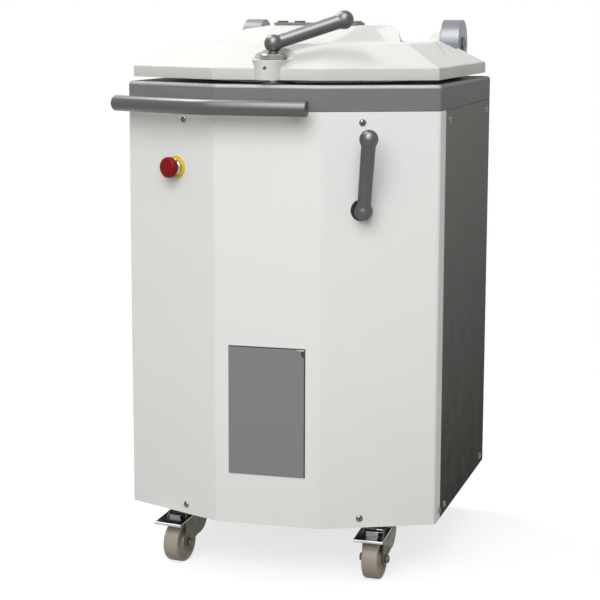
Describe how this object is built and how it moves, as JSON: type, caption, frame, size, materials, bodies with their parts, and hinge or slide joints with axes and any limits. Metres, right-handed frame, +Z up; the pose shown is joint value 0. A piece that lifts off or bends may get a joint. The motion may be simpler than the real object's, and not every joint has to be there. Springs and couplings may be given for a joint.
{
  "type": "hydraulic dough divider",
  "caption": "Floor-standing hydraulic dough divider: faceted cabinet on casters, round dough bowl with rising plunger and knife grid, hinged press lid with a ball-lever lock.",
  "frame": {"origin": "on the floor, under the axis of the dough bowl, which is the middle of the cabinet's plan", "axes": "+Z up, front panel towards -Y, the control lever on the +X side"},
  "size_m": [0.6364, 0.772, 1.0867],
  "materials": {
    "white_panel_paint": "smooth satin powder coat",
    "lid_white": "smooth moulded shell, satin",
    "dark_grey_paint": "satin metallic grey",
    "side_grey_paint": "satin grey",
    "frame_paint": "plain dark primer",
    "bar_paint": "satin grey",
    "lever_alloy": "satin silver",
    "bright_steel": "bright",
    "machined_steel": "machined",
    "stainless": "brushed stainless",
    "press_white": "food-grade white plastic",
    "power_unit_paint": "plain machine paint",
    "hose_rubber": "smooth",
    "black_plastic": "fine grain",
    "stop_red": "gloss",
    "stop_yellow": "satin",
    "notice_grey": "satin film",
    "zinc_plate": "zinc plated",
    "wheel_grey": "moulded, satin"
  },
  "bodies": {
    "cabinet": {"front_panel": "white_panel_paint", "top_frame": "dark_grey_paint", "hinge_knuckles": "dark_grey_paint", "left_side_panel": "side_grey_paint", "right_side_panel": "side_grey_paint", "rear_panel": "side_grey_paint", "base_frame": "frame_paint", "base_plate": "frame_paint", "corner_posts": "frame_paint", "deck_plate": "frame_paint", "grab_bar": "bar_paint", "panel_screws": "bright_steel", "stop_collar": "bright_steel", "hinge_pins": "bright_steel", "lock_keeper": "machined_steel", "main_cylinder": "machined_steel", "cylinder_head": "machined_steel", "knife_cylinders": "machined_steel", "guide_rods": "machined_steel", "gear_pump": "machined_steel", "valve_block": "machined_steel", "bowl": "stainless", "oil_tank": "power_unit_paint", "pump_motor": "power_unit_paint", "hydraulic_hoses": "hose_rubber", "control_bush": "black_plastic", "stop_contact_block": "black_plastic", "electrical_box": "black_plastic", "cable_gland": "black_plastic", "stop_ring": "stop_yellow", "notice_plate": "notice_grey", "caster_plates": "zinc_plate"},
    "lid": {"lid_shell": "lid_white", "lid_beam": "machined_steel", "lid_pressure_plate": "press_white", "lid_top_plate": "dark_grey_paint", "lid_top_bolts": "bright_steel", "lid_hinge_arms": "machined_steel"},
    "lid_lock": {"lock_disc": "machined_steel", "lock_shaft": "machined_steel", "lock_lever": "lever_alloy"},
    "control": {"control_spindle": "machined_steel", "control_lever": "lever_alloy"},
    "stop_rod": {"stop_stem": "black_plastic"},
    "stop_head": {"stop_button": "stop_red"},
    "plunger": {"plunger_segments": "press_white", "plunger_carrier": "machined_steel", "plunger_rod": "machined_steel"},
    "knives": {"knife_grid": "stainless", "knife_rods": "machined_steel"},
    "fork_front_left": {"caster_fork_front_left": "zinc_plate"},
    "wheel_front_left": {"caster_wheel_front_left": "wheel_grey"},
    "fork_front_right": {"caster_fork_front_right": "zinc_plate"},
    "wheel_front_right": {"caster_wheel_front_right": "wheel_grey"},
    "fork_rear_left": {"caster_fork_rear_left": "zinc_plate"},
    "wheel_rear_left": {"caster_wheel_rear_left": "wheel_grey"},
    "fork_rear_right": {"caster_fork_rear_right": "zinc_plate"},
    "wheel_rear_right": {"caster_wheel_rear_right": "wheel_grey"},
    "pedal_front_left": {"brake_pedal_front_left": "zinc_plate"},
    "pedal_front_right": {"brake_pedal_front_right": "zinc_plate"}
  },
  "joints": [
    {"name": "lid_hinge", "type": "hinge", "parent": "cabinet", "child": "lid", "pos_m": [0, 0.345, 1.017], "axis": [1, 0, 0], "range_deg": [-78, 0]},
    {"name": "lock_lever_turn", "type": "hinge", "parent": "lid", "child": "lid_lock", "pos_m": [0, -0.271, 1], "axis": [0, 0, 1], "range_deg": [-118, 0]},
    {"name": "control_lever_turn", "type": "hinge", "parent": "cabinet", "child": "control", "pos_m": [0.174, -0.28157, 0.72], "axis": [0.4179, -0.9085, 0], "range_deg": [-30, 30], "stiffness_Nm_per_rad": 2},
    {"name": "stop_press", "type": "slide", "parent": "cabinet", "child": "stop_rod", "axis": [0.4179, 0.9085, 0], "range_m": [0, 0.004], "stiffness_N_per_m": 500},
    {"name": "stop_twist", "type": "hinge", "parent": "stop_rod", "child": "stop_head", "pos_m": [-0.191, -0.27375, 0.791], "axis": [-0.4179, -0.9085, 0], "range_deg": [0, 30], "stiffness_Nm_per_rad": 0.05},
    {"name": "plunger_lift", "type": "slide", "parent": "cabinet", "child": "plunger", "axis": [0, 0, 1], "range_m": [0, 0.12]},
    {"name": "knife_lift", "type": "slide", "parent": "cabinet", "child": "knives", "axis": [0, 0, 1], "range_m": [0, 0.12]},
    {"name": "swivel_front_left", "type": "hinge", "parent": "cabinet", "child": "fork_front_left", "pos_m": [-0.198, -0.206, 0.1], "axis": [0, 0, 1], "continuous": true},
    {"name": "roll_front_left", "type": "hinge", "parent": "fork_front_left", "child": "wheel_front_left", "pos_m": [-0.20408, -0.24047, 0.04], "axis": [0.9848, -0.1736, 0], "continuous": true},
    {"name": "brake_front_left", "type": "hinge", "parent": "fork_front_left", "child": "pedal_front_left", "pos_m": [-0.2046, -0.24342, 0.092], "axis": [0.9848, -0.1736, 0], "range_deg": [0, 15]},
    {"name": "swivel_front_right", "type": "hinge", "parent": "cabinet", "child": "fork_front_right", "pos_m": [0.198, -0.206, 0.1], "axis": [0, 0, 1], "continuous": true},
    {"name": "roll_front_right", "type": "hinge", "parent": "fork_front_right", "child": "wheel_front_right", "pos_m": [0.19617, -0.24095, 0.04], "axis": [0.9986, -0.0523, 0], "continuous": true},
    {"name": "brake_front_right", "type": "hinge", "parent": "fork_front_right", "child": "pedal_front_right", "pos_m": [0.19601, -0.24395, 0.092], "axis": [0.9986, -0.0523, 0], "range_deg": [0, 15]},
    {"name": "swivel_rear_left", "type": "hinge", "parent": "cabinet", "child": "fork_rear_left", "pos_m": [-0.198, 0.206, 0.1], "axis": [0, 0, 1], "continuous": true},
    {"name": "roll_rear_left", "type": "hinge", "parent": "fork_rear_left", "child": "wheel_rear_left", "pos_m": [-0.20882, 0.17271, 0.04], "axis": [0.9511, -0.309, 0], "continuous": true},
    {"name": "swivel_rear_right", "type": "hinge", "parent": "cabinet", "child": "fork_rear_right", "pos_m": [0.198, 0.206, 0.1], "axis": [0, 0, 1], "continuous": true},
    {"name": "roll_rear_right", "type": "hinge", "parent": "fork_rear_right", "child": "wheel_rear_right", "pos_m": [0.19192, 0.17153, 0.04], "axis": [0.9848, -0.1736, 0], "continuous": true}
  ]
}
